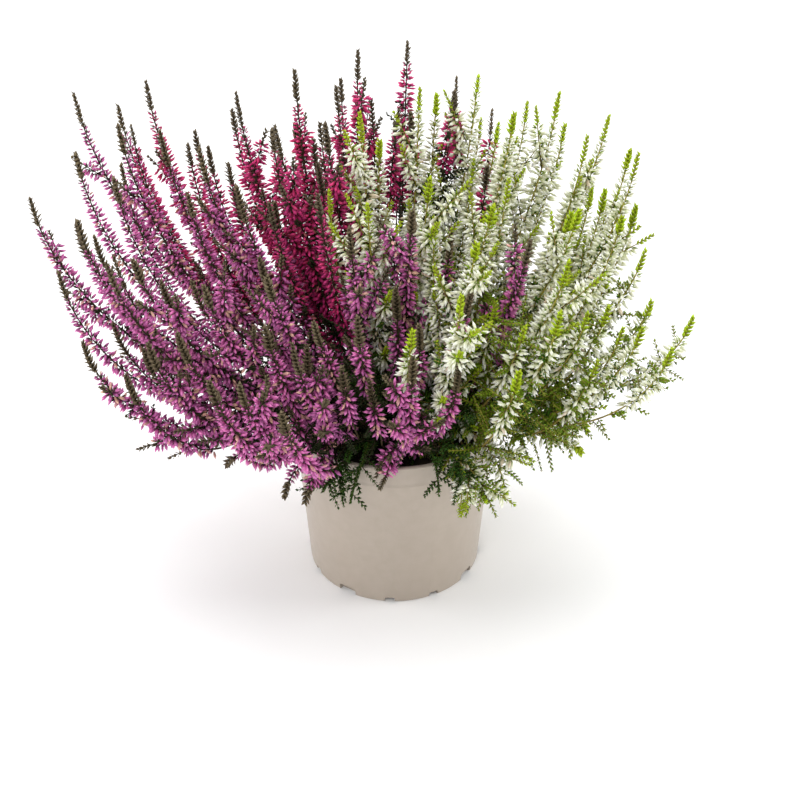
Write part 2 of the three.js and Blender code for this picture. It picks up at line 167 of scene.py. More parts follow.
class Kind:
    """A kind of spike: where its rings lie along it, where its florets or leaves begin and end."""

    def __init__(self, bare, start, end, whorls, reach):
        self.start, self.end, self.reach = start, end, reach
        self.shares = list(bare) + [start + (end - start) * w / (whorls - 1) for w in range(whorls)]
        self.shares.append((end + 1) / 2)


MAIN_SPIKE = Kind([0, STEP, 2 * STEP, 0.3], 0.44, 0.9, 7, FLORET_REACH)
SIDE_SPIKE = Kind([0, 0.2], 0.4, 0.9, 7, FLORET_REACH)
HANGING_SPIKE = Kind([0, STEP, 2 * STEP, 0.3], 0.44, 0.92, 5, FLORET_REACH)
HANGING_SIDE = Kind([0], 0.35, 0.9, 4, FLORET_REACH)
MAIN_SHOOT = Kind([0, STEP], 0.3, 0.9, 6, LEAF_REACH)
SIDE_SHOOT = Kind([0], 0.3, 0.88, 3, LEAF_REACH)


class Spike:
    """One spike's middle line, on its own root or forking from the main spike of its spray."""

    def __init__(self, spray, colour, line, kind, free_from, main=None, fork=None):
        self.spray, self.colour, self.kind = spray, colour, kind
        self.line = np.array(line, dtype=float)
        self.free_from, self.main, self.fork = free_from, main, fork
        shares = np.arange(LINE_POINTS) * STEP
        self.reaches = np.where(shares < kind.end, kind.reach, TIP_REACH)
        self.reaches[shares < kind.start - BARE_BEFORE] = STEM_CORNER


def variety(index, kind):
    """A number from 0 to 1 that differs evenly from spray to spray."""
    value = 0.5 + index * EVEN_FRACTION + kind * OTHER_FRACTION
    return value - math.floor(value)


def smooth(share):
    t = np.clip(share, 0.0, 1.0)
    return t * t * (3 - 2 * t)


def standing_places(tips):
    """Where each stem stands in the soil: under its tip's direction, with none too near another."""
    tips = np.array(tips, dtype=float)[:, :2]
    reach = np.hypot(tips[:, 0], tips[:, 1])
    places = tips / reach[:, None] * (BASE_CIRCLE * (reach / WIDEST_REACH) ** BASE_SPREAD)[:, None]
    for _ in range(SPREAD_ROUNDS):
        apart = places[:, None] - places[None]
        far = np.hypot(apart[..., 0], apart[..., 1])
        push = SPREAD_STRENGTH * (BASE_SPACING - far) / np.maximum(far, 0.1)
        push[(far >= BASE_SPACING) | np.eye(len(places), dtype=bool)] = 0
        places = places + (apart * push[..., None]).sum(axis=1)
        over = np.maximum(1, np.hypot(places[:, 0], places[:, 1]) / BASE_CIRCLE)
        places = places / over[:, None]
    return places


def stem_line(place, tip):
    """A stem from its foot in the soil to its tip: outwards first, then upwards."""
    x, y = place
    outer = min(1, math.hypot(tip[0], tip[1]) / OUTER_REACH)
    bow = 1 + STEM_BOW * outer
    low = smooth((HIGH_TIP - tip[2]) / (HIGH_TIP - LOW_TIP))
    climb = 1 + (STEM_CLIMB + LOW_CLIMB * low) * outer
    line = [(x, y, STEM_FOOT), (x, y, STEM_STRAIGHT_TO)]
    for step in range(1, LINE_POINTS - 1):
        t = step / (LINE_POINTS - 2)
        out = 1 - (1 - max(0, t - SPREADS_FROM) / (1 - SPREADS_FROM)) ** bow
        lift = STEM_LIFT * smooth(t / LIFTED_AT) * (1 - t)
        rise = lift + (tip[2] - STEM_STRAIGHT_TO) * t ** climb
        line.append((x + (tip[0] - x) * out, y + (tip[1] - y) * out, STEM_STRAIGHT_TO + rise))
    return line


def arch_line(place, tip):
    """A stem that arches over the rim and hangs a little."""
    x, y = place
    reach = math.hypot(tip[0], tip[1])
    out = np.array([tip[0] / reach, tip[1] / reach, 0])
    up = np.array([0, 0, ARCH_RISE])
    start = np.array([x, y, STEM_STRAIGHT_TO])
    end = np.array(tip, dtype=float)
    controls = (start, start + ARCH_OUT[0] * out + up, end - ARCH_OUT[1] * out + up, end)
    t = np.linspace(0, 1, LINE_POINTS - 1)[:, None]
    weights = ((1 - t) ** 3, 3 * t * (1 - t) ** 2, 3 * t ** 2 * (1 - t), t ** 3)
    curve = sum(weight * control for weight, control in zip(weights, controls))
    return np.vstack([[x, y, STEM_FOOT], curve])


def curve_weights(shares):
    """Weights that turn a line's points into points of a smooth curve through them."""
    shares = np.atleast_1d(shares)
    place = np.clip(shares, 0, 1) * (LINE_POINTS - 1)
    first = np.minimum(LINE_POINTS - 2, np.floor(place + 1e-9).astype(int))
    t = place - first
    start = t - 2 * t ** 2 + t ** 3
    finish = t ** 3 - t ** 2
    gap = 3 * t ** 2 - 2 * t ** 3
    weights = np.zeros((len(shares), LINE_POINTS + 2))
    rows = np.arange(len(shares))
    weights[rows, first] -= start / 2
    weights[rows, first + 1] += 1 - gap - finish / 2
    weights[rows, first + 2] += gap + start / 2
    weights[rows, first + 3] += finish / 2
    inner = weights[:, 1:-1].copy()
    inner[:, 0] += 2 * weights[:, 0]
    inner[:, 1] -= weights[:, 0]
    inner[:, -1] += 2 * weights[:, -1]
    inner[:, -2] -= weights[:, -1]
    return inner


def side_line(main_line, fork, tip):
    """A side spike follows its main stem at first and turns away to its own tip."""
    t = np.linspace(0, 1, LINE_POINTS)
    along = curve_weights(fork + (1 - fork) * t) @ main_line
    away = 1 - (1 - t) ** SIDE_TURNS_AWAY
    return along + (np.array(tip) - main_line[-1]) * away[:, None]


def side_tips(tip, index):
    """Where the side spikes of a spray leave its main stem, and their tips."""
    reach = math.hypot(tip[0], tip[1])
    out = (tip[0] / reach, tip[1] / reach)
    count = 3 if reach > THREE_SIDES_BEYOND else 2 if reach > TWO_SIDES_BEYOND else 1
    room = min(1, ((tip[2] - SOIL_TOP) / FULL_DROP_HEIGHT) ** 2)
    for side in range(count):
        across = SIDE_TURNS[side] * (SIDE_ACROSS[0] + SIDE_ACROSS[1] * variety(index, side + 1))
        varies = FAR_INWARDS_VARIES if reach > FAR_REACH else INWARDS_VARIES
        outwards = -THIRD_INWARDS if side == 2 else varies * variety(index, side + 4) - SIDE_INWARDS
        down = room * (SIDE_DOWN[0] + SIDE_DOWN[1] * variety(index, side + 7))
        fork = SIDE_FORK[0] + SIDE_FORK[1] * variety(index, side + 10)
        x = tip[0] + out[0] * outwards - out[1] * across
        y = tip[1] + out[1] * outwards + out[0] * across
        yield fork, (x, y, tip[2] - down)


def grow_spray(name, colour, line, tip, index):
    main = Spike(name, colour, line, MAIN_SPIKE, 6)
    sides = [
        Spike(name, colour, side_line(main.line, fork, side_tip), SIDE_SPIKE, 3, main, fork)
        for fork, side_tip in side_tips(tip, index)
    ]
    return [main, *sides]


def grow_shoot(name, colour, line, tip, index):
    """A leafy shoot, or a spray that hangs over the rim, has one side twig."""
    kinds = (MAIN_SHOOT, SIDE_SHOOT) if colour == "green" else (HANGING_SPIKE, HANGING_SIDE)
    main = Spike(name, colour, line, kinds[0], 8)
    across = (TWIG_ACROSS if index % 2 else -TWIG_ACROSS) / math.hypot(tip[0], tip[1])
    twig_tip = (tip[0] + across * tip[1], tip[1] - across * tip[0], tip[2] + TWIG_HIGHER)
    twig = Spike(name, colour, side_line(main.line, TWIG_FORK, twig_tip), kinds[1], 5, main, TWIG_FORK)
    return [main, twig]


def rooted_stems():
    stems = []
    for colour in ("mauve", "crimson", "white", "green"):
        upright = UPRIGHT_TIPS[colour]
        form = "shoot" if colour == "green" else "spray"
        for index, tip in enumerate(upright + ARCHING_TIPS[colour]):
            stems.append((f"{colour}_{form}_{index + 1:02d}", colour, tip, index >= len(upright)))
    return stems


def grow_spikes(stems):
    places = standing_places([tip for _, _, tip, _ in stems])
    spikes = []
    for index, (name, colour, tip, arching) in enumerate(stems):
        line = arch_line(places[index], tip) if arching else stem_line(places[index], tip)
        grow = grow_shoot if arching or colour == "green" else grow_spray
        spikes += grow(name, colour, line, tip, index)
    bend_clear(spikes)
    return spikes


def bend_clear(spikes):
    """Bends spikes that would cross each other clear, and keeps them above the rim."""
    lines = np.array([spike.line for spike in spikes])
    rests = lines.copy()
    reaches = np.array([spike.reaches for spike in spikes])
    fixed = np.array([2 if spike.main is None else 1 for spike in spikes])
    order = np.arange(LINE_POINTS)
    free = np.clip((order[None] - fixed[:, None] + 1) / 3, 0, 1)[..., None]
    moving = (order[None] >= fixed[:, None])[..., None]
    sides = [index for index, spike in enumerate(spikes) if spike.main is not None]
    mains = [spikes.index(spikes[index].main) for index in sides]
    foot_weights = np.array([between_rings(spikes[index].main.kind, spikes[index].fork) for index in sides])
    fading = np.clip(1 - order / 4, 0, None)[None, :, None]
    neighbours = Neighbours(spikes)
    for round_number in range(BEND_ROUNDS):
        moves = neighbours.push_apart(lines, reaches)
        homing = BEND_HOMING * (1 - round_number / BEND_ROUNDS)
        lines = lines + np.where(moving, free * moves + homing * (rests - lines), 0)
        evening = BEND_EVENING * (bends(lines) - bends(rests))
        lines[:, 1:-1] += np.where(moving[:, 1:-1], evening, 0)
        lift_over_rim(lines, reaches, moving[..., 0])
        feet = np.einsum("sp,spx->sx", foot_weights, lines[mains])
        lines[sides] += fading * (feet - lines[sides, 0])[:, None]
    for spike, line in zip(spikes, lines):
        spike.line = line


def bends(lines):
    """How far the middle between each point's neighbours is from the point."""
    return (lines[:, :-2] + lines[:, 2:]) / 2 - lines[:, 1:-1]


def between_rings(kind, share):
    """Weights of the point on the straight run between the two rings before and after a share."""
    following = next(index for index, value in enumerate(kind.shares) if value > share)
    before, after = kind.shares[following - 1], kind.shares[following]
    part = (share - before) / (after - before)
    first, second = curve_weights([before, after])
    return first + (second - first) * part


def lift_over_rim(lines, reaches, moving):
    away = np.abs(np.hypot(lines[..., 0], lines[..., 1]) - RIM_RADIUS + WALL)
    lowest = POT_HEIGHT + reaches + RIM_CLEARANCE - RIM_SLOPE * np.maximum(0, away - RIM_FLAT)
    low = moving & (away < RIM_ZONE) & (lines[..., 2] < lowest)
    lines[..., 2] = np.where(low, lowest, lines[..., 2])


class Neighbours:
    """The pairs of points of different spikes that are near enough to push each other apart."""

    def __init__(self, spikes):
        count = len(spikes)
        names = {spike.spray: number for number, spike in enumerate(spikes)}
        self.spray = np.repeat([names[spike.spray] for spike in spikes], LINE_POINTS)
        self.spike = np.repeat(np.arange(count), LINE_POINTS)
        self.order = np.tile(np.arange(LINE_POINTS), count)
        self.free_from = np.repeat([spike.free_from for spike in spikes], LINE_POINTS)
        self.found_at = None

    def find(self, points):
        squares = (points ** 2).sum(axis=1)
        near = squares[:, None] + squares[None] - 2 * points @ points.T
        limit = 2 * FLORET_REACH + CLEARANCE + NEIGHBOUR_MARGIN
        one, other = np.nonzero(np.triu(near < limit ** 2, 1))
        same = self.spray[one] == self.spray[other]
        first = np.where(same, self.free_from[one], 2)
        first_other = np.where(same, self.free_from[other], 2)
        kept = (self.order[one] >= first) & (self.order[other] >= first_other)
        kept &= self.spike[one] != self.spike[other]
        self.one, self.other = one[kept], other[kept]
        self.found_at = points.copy()

    def push_apart(self, lines, reaches):
        points = lines.reshape(-1, 3)
        reach = reaches.reshape(-1)
        if self.found_at is None or np.abs(points - self.found_at).max() > NEIGHBOUR_MARGIN / 4:
            self.find(points)
        apart = points[self.one] - points[self.other]
        far = np.sqrt((apart ** 2).sum(axis=1))
        need = reach[self.one] + reach[self.other] + CLEARANCE
        strength = np.where(far < need, BEND_STRENGTH * (need - far) / np.maximum(far, 0.5), 0)
        pushes = apart * strength[:, None]
        moves = np.empty_like(points)
        for axis in range(3):
            moves[:, axis] = np.bincount(self.one, pushes[:, axis], len(points))
            moves[:, axis] -= np.bincount(self.other, pushes[:, axis], len(points))
        return moves.reshape(lines.shape)


class Path:
    """A smooth line of dense points, read by the distance along it."""

    def __init__(self, points):
        self.points = np.asarray(points, dtype=float)
        steps = np.linalg.norm(np.diff(self.points, axis=0), axis=1)
        self.distances = np.concatenate([[0], np.cumsum(steps)])
        self.length = self.distances[-1]
        self.tangents = np.gradient(self.points, self.distances, axis=0)
        chord = self.points[-1] - self.points[0]
        level = np.cross([0, 0, 1], chord)
        if np.linalg.norm(level) < 1e-3 * self.length:
            level = np.array([1.0, 0, 0])
        self.level = level / np.linalg.norm(level)

    def at(self, distances):
        """Points, directions along, and two directions across, at distances along the path."""
        points, along = (
            np.stack([np.interp(distances, self.distances, column) for column in values.T], 1)
            for values in (self.points, self.tangents)
        )
        along = unit(along)
        across = unit(self.level - along * (along @ self.level)[:, None])
        return points, along, across, np.cross(along, across)

    def distance_at(self, share):
        return float(np.interp(share, np.linspace(0, 1, len(self.points)), self.distances))


def unit(vectors):
    return vectors / np.linalg.norm(vectors, axis=-1, keepdims=True)


def add_object(name, data):
    piece = bpy.data.objects.new(name, data)
    bpy.context.scene.collection.objects.link(piece)
    return piece


def tube_faces(first, rings, sides):
    """Triangles between rings of corners that follow each other from a first corner on."""
    faces = []
    for ring in range(rings - 1):
        for side in range(sides):
            a, b = first + ring * sides + side, first + ring * sides + (side + 1) % sides
            faces += [(a, b, b + sides), (a, b + sides, a + sides)]
    return faces


def end_faces(rings, sides):
    """Triangles that close rings of corners at both ends, on the first and on the last corner."""
    last = 1 + (rings - 1) * sides
    start = [(0, 1 + (side + 1) % sides, 1 + side) for side in range(sides)]
    return start, [(last + side, last + (side + 1) % sides, last + sides) for side in range(sides)]


def spindle(sides, profile):
    """A closed form pointed at both ends: its corners as (along, across, other) and its triangles."""
    corners = [(0.0, 0.0, 0.0)]
    for along, radius in profile:
        for side in range(sides):
            angle = 2 * math.pi * side / sides
            corners.append((along, radius * math.cos(angle), radius * math.sin(angle)))
    corners.append((1.0, 0.0, 0.0))
    start, end = end_faces(len(profile), sides)
    return np.array(corners), np.array(start + tube_faces(1, len(profile), sides) + end)


BUD = spindle(4, [(0.2, 0.36), (0.6, 0.5)])
LEAF = (
    np.array([(0.0, 0.0, 0.0), (0.42, 0.5, -0.15), (0.42, -0.5, -0.15), (1.0, 0.0, 0.0)]),
    np.array([(0, 3, 1), (0, 2, 3), (0, 1, 2), (3, 2, 1)]),
)


class Growth:
    """Collects the parts of one piece, keeps its look, tone and random draws, and makes its mesh."""

    def __init__(self, name, materials, look=None, tone=0.0, rng=None):
        self.name, self.materials = name, materials
        self.look, self.tone, self.rng = look, tone, rng
        self.corners, self.faces, self.slots, self.facts = [], [], [], []
        self.count = 0

    def add(self, corners, faces, slot, facts):
        self.corners.append(corners)
        self.faces.append(faces + self.count)
        self.slots.append(np.full(len(faces), slot))
        self.facts.append(facts)
        self.count += len(corners)

    def add_copies(self, form, origins, directions, sideways, lengths, widths, slot, tone, fresh, faded):
        """Copies of a form at places, each with its direction, the way its width lies, and its size."""
        corners, faces = form
        count = len(origins)
        if count == 0:
            return
        first = unit(sideways - directions * (sideways * directions).sum(axis=1, keepdims=True))
        second = np.cross(directions, first)
        placed = (
            origins[:, None]
            + corners[None, :, 0:1] * (directions * lengths[:, None])[:, None]
            + corners[None, :, 1:2] * (first * widths[:, None])[:, None]
            + corners[None, :, 2:3] * (second * widths[:, None])[:, None]
        )
        facts = np.empty((count, len(corners), 4))
        facts[..., 0] = corners[None, :, 0]
        for column, values in enumerate((tone, fresh, faded), 1):
            facts[..., column] = np.broadcast_to(values, count)[:, None]
        copies = faces[None] + (np.arange(count) * len(corners))[:, None, None]
        self.add(placed.reshape(-1, 3), copies.reshape(-1, 3), slot, facts.reshape(-1, 4))

    def add_stem(self, path, start_radius, end_radius, sides=5, spacing=6.0):
        """A thin stem along a path, closed at its foot and pointed at its tip."""
        count = max(3, int(path.length / spacing))
        distances = np.linspace(0, path.length * 0.995, count)
        points, _, across, other = path.at(distances)
        share = distances / path.length
        radii = start_radius + (end_radius - start_radius) * share
        angles = 2 * math.pi * np.arange(sides) / sides
        around = across[:, None] * np.cos(angles)[:, None] + other[:, None] * np.sin(angles)[:, None]
        rings = points[:, None] + around * radii[:, None, None]
        corners = np.vstack([rings.reshape(-1, 3), path.points[-1]])
        faces = tube_faces(0, count, sides)
        tip = len(corners) - 1
        last = (count - 1) * sides
        faces += [(last + side, last + (side + 1) % sides, tip) for side in range(sides)]
        faces += [(0, side + 1, side) for side in range(1, sides - 1)]
        facts = np.zeros((len(corners), 4))
        facts[:, 0] = np.append(np.repeat(share, sides), 1)
        facts[:, 1] = self.tone
        facts[:, 2] = facts[:, 0]
        self.add(corners, np.array(faces), STEM, facts)

    def make(self):
        corners = np.concatenate(self.corners) * MM
        faces = np.concatenate(self.faces)
        mesh = bpy.data.meshes.new(self.name)
        mesh.vertices.add(len(corners))
        mesh.vertices.foreach_set("co", corners.ravel())
        mesh.loops.add(faces.size)
        mesh.loops.foreach_set("vertex_index", faces.ravel().astype(np.int32))
        mesh.polygons.add(len(faces))
        mesh.polygons.foreach_set("loop_start", np.arange(0, faces.size, 3, dtype=np.int32))
        mesh.polygons.foreach_set("material_index", np.concatenate(self.slots).astype(np.int32))
        mesh.polygons.foreach_set("use_smooth", np.ones(len(faces), dtype=bool))
        for material in self.materials:
            mesh.materials.append(material)
        facts = mesh.attributes.new("growth", "FLOAT_COLOR", "POINT")
        facts.data.foreach_set("color", np.concatenate(self.facts).ravel())
        mesh.update(calc_edges=True)
        return add_object(self.name, mesh)


# Slots of every plant piece's materials
STEM, LEAVES, BUDS = 0, 1, 2


class Look:
    """How the florets and leafy tips of one heather look. Lengths are in millimetres."""

    def __init__(self, bud_length, bud_width, buds_at_node, tip_length, tip_width, faded):
        self.buds_at_node = buds_at_node
        self.bud_length, self.bud_width = bud_length, bud_width
        self.tip_length, self.tip_width = tip_length, tip_width
        self.faded = faded


LOOKS = {
    "mauve": Look(5.6, 1.9, 5, 17.0, 1.3, 0.12),
    "crimson": Look(5.8, 1.9, 5, 14.0, 1.25, 0.02),
    "white": Look(7.0, 2.1, 4, 12.0, 1.25, 0.03),
    "green": Look(4.6, 1.8, 5, 9.0, 1.0, 0.0),
}
NODE_SPACING = 2.7
BRACT_LENGTH = 4.0
BRACT_WIDTH = 1.5
SCALE_SPACING = 1.4
SCALE_LENGTH = 3.6
SCALE_WIDTH = 2.4

# Florets thin out at the foot of a spike, to this share of them
FOOT_SHARE = 0.45
FOOT_PART = 0.15
# They stand straight out there and rise towards the tip, in degrees, but the lower ones hang
FLORET_RISE = (2, 44)
FLORET_HANG = 0.95
# A few are bent out of their whorl
FLORET_STRAY = 0.23
# They are smaller near the tip; near the foot they and their bracts get painted shade, a darker colour
# standing in for the shade deep inside the plant
SMALL_FROM = 0.72
SMALLEST = 0.5
SHADE = 0.3
SHADE_PART = 0.45


def around(across, other, turn):
    """Directions across a path at angles round it."""
    return np.cos(turn)[:, None] * across + np.sin(turn)[:, None] * other


def add_buds(growth, path, start, end):
    """Florets in whorls along a path from start to end, with small green bracts between them."""
    look, tone, rng = growth.look, growth.tone, growth.rng
    nodes = max(1, int((end - start) / NODE_SPACING))
    at_node = start + (np.arange(nodes) + rng.uniform(-0.2, 0.2, nodes)) * NODE_SPACING
    order = np.repeat(np.arange(nodes), look.buds_at_node)
    copy = np.tile(np.arange(look.buds_at_node), nodes)
    turn = rng.uniform(0, 2 * math.pi) + (order + 2 * copy) * math.pi / look.buds_at_node
    turn = turn + rng.uniform(-0.3, 0.3, len(turn))
    distances = at_node[order] + rng.uniform(-0.5, 0.5, len(turn))
    fresh = np.clip((distances - start) / (end - start), 0, 1)
    kept = rng.random(len(turn)) < FOOT_SHARE + (1 - FOOT_SHARE) * smooth(fresh / FOOT_PART)
    distances, turn, fresh = distances[kept], turn[kept], fresh[kept]
    count = len(turn)
    points, along, across, other = path.at(distances)
    out = around(across, other, turn)
    lift = np.radians(FLORET_RISE[0] + FLORET_RISE[1] * fresh ** 3 + rng.uniform(-10, 10, count))[:, None]
    pointing = np.cos(lift) * out + np.sin(lift) * along
    pointing[:, 2] -= FLORET_HANG * (1 - fresh) ** 1.1 * rng.uniform(0.5, 1.3, count)
    pointing = unit(pointing)
    smaller = (1 - SMALLEST) * smooth((fresh - SMALL_FROM) / (1 - SMALL_FROM))
    size = (1 - smaller) * rng.uniform(0.85, 1.08, count)
    # Painted shade: florets and bracts near the foot of a spike are made darker, as if shaded deep inside
    # the plant
    painted_shade = SHADE * (1 - smooth(fresh / SHADE_PART))
    tones = np.clip(tone + rng.uniform(-0.3, 0.3, count) - painted_shade, 0, 1)
    faded = (rng.random(count) < look.faded * (1 - fresh) * 2.2) * rng.uniform(0.6, 1, count)
    any_way = unit(rng.normal(size=(count, 3)))
    pointing = unit(pointing + FLORET_STRAY * any_way)
    growth.add_copies(
        BUD, points + out * 0.7 + pointing * 0.4, pointing, any_way, look.bud_length * size,
        look.bud_width * size * rng.uniform(0.9, 1.1, count), BUDS, tones, fresh, faded,
    )
    near = turn + rng.choice((-1, 1), count) * rng.uniform(0.3, 0.7, count)
    leaf_out = around(across, other, near)
    rise = np.radians(rng.uniform(12, 50, count))[:, None]
    leaning = unit(np.cos(rise) * leaf_out + np.sin(rise) * along)
    size = rng.uniform(0.7, 1.25, count)
    growth.add_copies(
        LEAF, points + leaf_out * 0.5, leaning, np.cross(leaf_out, along), BRACT_LENGTH * size,
        BRACT_WIDTH * size, LEAVES, tones, 0.5 * fresh, np.zeros(count),
    )


def add_scales(growth, path, start, end, fresh, size=1.0, spacing=SCALE_SPACING, rise=46.0):
    """Small scale leaves in opposite pairs, each pair turned a quarter from the last."""
    rng = growth.rng
    nodes = max(2, int((end - start) / spacing))
    count = 2 * nodes
    order = np.repeat(np.arange(nodes), 2)
    turn = 0.4 + order * math.pi / 2 + np.tile([0, math.pi], nodes) + rng.uniform(-0.15, 0.15, count)
    points, along, across, other = path.at(start + order * (end - start) / nodes)
    out = around(across, other, turn)
    share = order / nodes
    angle = np.radians(rise + 26 * share ** 3 + rng.uniform(-7, 7, count))[:, None]
    pointing = unit(np.cos(angle) * out + np.sin(angle) * along)
    sizes = size * (1 - 0.4 * share ** 3) * rng.uniform(0.88, 1.12, count)
    tones = np.clip(growth.tone + rng.uniform(-0.25, 0.25, count), 0, 1)
    growth.add_copies(
        LEAF, points + out * 0.25, pointing, np.cross(out, along), SCALE_LENGTH * sizes,
        SCALE_WIDTH * sizes, LEAVES, tones, np.full(count, fresh), np.zeros(count),
    )


def twig_path(path, place, slant, length, rise, rng):
    """A short twig from a place on a path. It turns upwards or, with rise below 0, down."""
    points, along, across, other = path.at(np.array([place]))
    out = around(across, other, rng.uniform(0, 2 * math.pi, 1))[0]
    direction = unit(out + slant * along[0])
    t = np.linspace(0, 1, 12)[:, None]
    return Path(points[0] + direction * length * t + np.array([0, 0, rise * length]) * t ** 2)


# The least room between a twig and the pot: above its rim, inside its wall and outside it
TWIG_ROOM = (4, 4, 3)


def clear_of_pot(path):
    """Whether a twig stays inside the pot or outside it, without passing through the wall."""
    above, inside, outside = TWIG_ROOM
    away = np.hypot(path.points[:, 0], path.points[:, 1])
    beside = path.points[:, 2] < POT_HEIGHT + above
    return not np.any(beside & (away > WALL_TOP_RADIUS - WALL - inside) & (away < RIM_RADIUS + outside))


# Twigs and short sprays are shorter far out, beyond these distances from the plant's middle
OUTER_TWIGS = 100
OUTER_TWIG_SHARE = 0.5
OUTER_SPRAYS = 130
OUTER_SPRAY_SHARE = 0.62

# How much twigs turn upwards over their length, from the least to the most
TWIG_RISE = (-0.1, 0.3)
HANGING_RISE = (-0.4, -0.05)
SPRAY_RISE = (0, 0.15)
DROOPING_RISE = (-0.6, -0.3)

# Short sprays: their lengths, how they slant along the stem, the leafy part at their tips and the
# bare part at their feet
SPRAY_LENGTHS = (26, 46)
SPRAY_SLANT = 1.6
DROOPING_SLANT = 0.7
DROOPING_SHARE = 0.66
SPRAY_LEAFY = (0.2, 0.32)
SPRAY_BARE = 5


class Twigs:
    """Leafy twigs: how many, from 0 to 1 how lime their leaves are, the longest, and their rise."""

    def __init__(self, count, lime, longest, rise=TWIG_RISE):
        self.count, self.lime, self.longest, self.rise = count, lime, longest, rise


def share_far_out(path, place, beyond, share):
    """The share of their full length that twigs have at a place on a stem."""
    return share if np.hypot(*path.at(np.array([place]))[0][0, :2]) > beyond else 1


def add_leafy_twigs(growth, path, start, end, twigs):
    """Leafy twigs without flowers on a stretch of a stem."""
    rng = growth.rng
    for place in np.linspace(start, end, twigs.count) + rng.uniform(-3, 3, twigs.count):
        far_out = share_far_out(path, place, OUTER_TWIGS, OUTER_TWIG_SHARE)
        length = rng.uniform(0.5, 1) * twigs.longest * far_out
        twig = twig_path(path, place, 0.5, length, rng.uniform(*twigs.rise), rng)
        if not clear_of_pot(twig):
            continue
        growth.add_stem(twig, 0.4, 0.25, 3, 9.0)
        add_scales(growth, twig, 2, twig.length, twigs.lime, 0.8, 1.7, 38.0)


def add_short_sprays(growth, path, start, end, count, rise=SPRAY_RISE):
    """Short flowering twigs among the longer spikes. With a rise below 0 they hang."""
    rng = growth.rng
    slant, share = (SPRAY_SLANT, 1) if rise[0] >= 0 else (DROOPING_SLANT, DROOPING_SHARE)
    for place in np.linspace(start, end, count) + rng.uniform(-5, 5, count):
        far_out = share_far_out(path, place, OUTER_SPRAYS, OUTER_SPRAY_SHARE)
        length = rng.uniform(*SPRAY_LENGTHS) * share * far_out
        twig = twig_path(path, place, slant, length, rng.uniform(*rise), rng)
        if not clear_of_pot(twig):
            continue
        growth.add_stem(twig, 0.5, 0.35, 3, 9.0)
        leafy = rng.uniform(*SPRAY_LEAFY) * length
        add_buds(growth, twig, SPRAY_BARE, twig.length - leafy)
        add_scales(growth, twig, twig.length - leafy - 1, twig.length, 0.9, 0.9)


def spike_path(spike):
    line = spike.line.copy()
    if spike.main is not None:
        line[0] = (curve_weights(spike.fork) @ spike.main.line)[0]
    return Path(curve_weights(np.linspace(0, 1, 90)) @ line)


# Crimson spikes that stand behind the white ones flower only near their tips
BEHIND_WHITE_START = 0.78
FAR_BEHIND_WHITE_START = 0.87
FAR_BEHIND_WHITE = 20
# Low white sprays at the right are leafy, with few florets
LEAFY_RIGHT = 50
LEAFY_BACK = 40
LEAFY_BELOW = 236
LEAFY_START = 0.72
# Mauve spikes above the dark hollow at the front flower only in their upper part
HOLLOW_LEFT = -32
HOLLOW_RIGHT = 4
HOLLOW_FRONT = -60
HOLLOW_START = 0.72
# Beside the hollow, short mauve sprays hang down to the rim
DROOPING_RIGHT = 60
DROOPING_SPRAYS = 9

# Florets begin a little before those of the solid spikes
EARLIER = 0.07
# The leafy tip of a spike, as shares of its heather's usual length and width
TIP_LENGTHS = (0.8, 1.4)
HANGING_TIP_LENGTH = 0.5
TIP_WIDTHS = (0.85, 1.25)
MAIN_STEM_RADIUS = 1.1
SIDE_STEM_RADIUS = 0.7
STEM_TIP_RADIUS = 0.4

# Where twigs and short sprays begin and end along a stem, from its foot, and how far some of them
# reach past the place where florets usually begin
LOWEST_TWIG = 24
LOWEST_SPRAY = 28
LOW_TWIG = 30
GROUND_END = 40
ABOVE_START = 14

SHOOT_TWIGS = Twigs(26, 0.12, 18)
HANGING_SHOOT_TWIGS = Twigs(26, 0.12, 18, HANGING_RISE)
LIME_TWIGS = Twigs(25, 0.35, 36, (-0.25, 0.2))
HANGING_LIME_TWIGS = Twigs(25, 0.35, 24, HANGING_RISE)
DARK_LEAVES = 0.05
GROUND_TWIGS = Twigs(5, DARK_LEAVES, 24)
LOW_TWIGS = Twigs(13, DARK_LEAVES, 32)
TWIGS_AMONG_FLORETS = Twigs(9, DARK_LEAVES, 19)
UNFLOWERED_SPACING = 3
UNFLOWERED_LONGEST = 26
SHORT_SPRAYS = {"mauve": 7, "crimson": 10, "white": 9}
HANGING_SPRAYS = 6

# Where leaves, twigs and short sprays begin and end, as shares of a stretch of the stem
SHOOT_LEAVES_FROM = 0.5
SHOOT_TWIGS_TO = 0.94
LIME_TWIGS_TO = 0.88
HANGING_SPRAYS_TO = 0.8
AMONG_FLORETS_TO = 0.6
SHORT_SPRAYS_FROM = 0.7
SHORT_SPRAYS_TO = 0.75


def flowers_from(spike, leafy):
    """The share of a spike's length from which it flowers."""
    x, y, _ = spike.line[-1]
    if spike.colour == "crimson" and x > 0:
        return BEHIND_WHITE_START if x < FAR_BEHIND_WHITE else FAR_BEHIND_WHITE_START
    if leafy:
        return LEAFY_START
    if spike.colour == "mauve" and HOLLOW_LEFT < x < HOLLOW_RIGHT and y < HOLLOW_FRONT:
        return HOLLOW_START
    return spike.kind.start


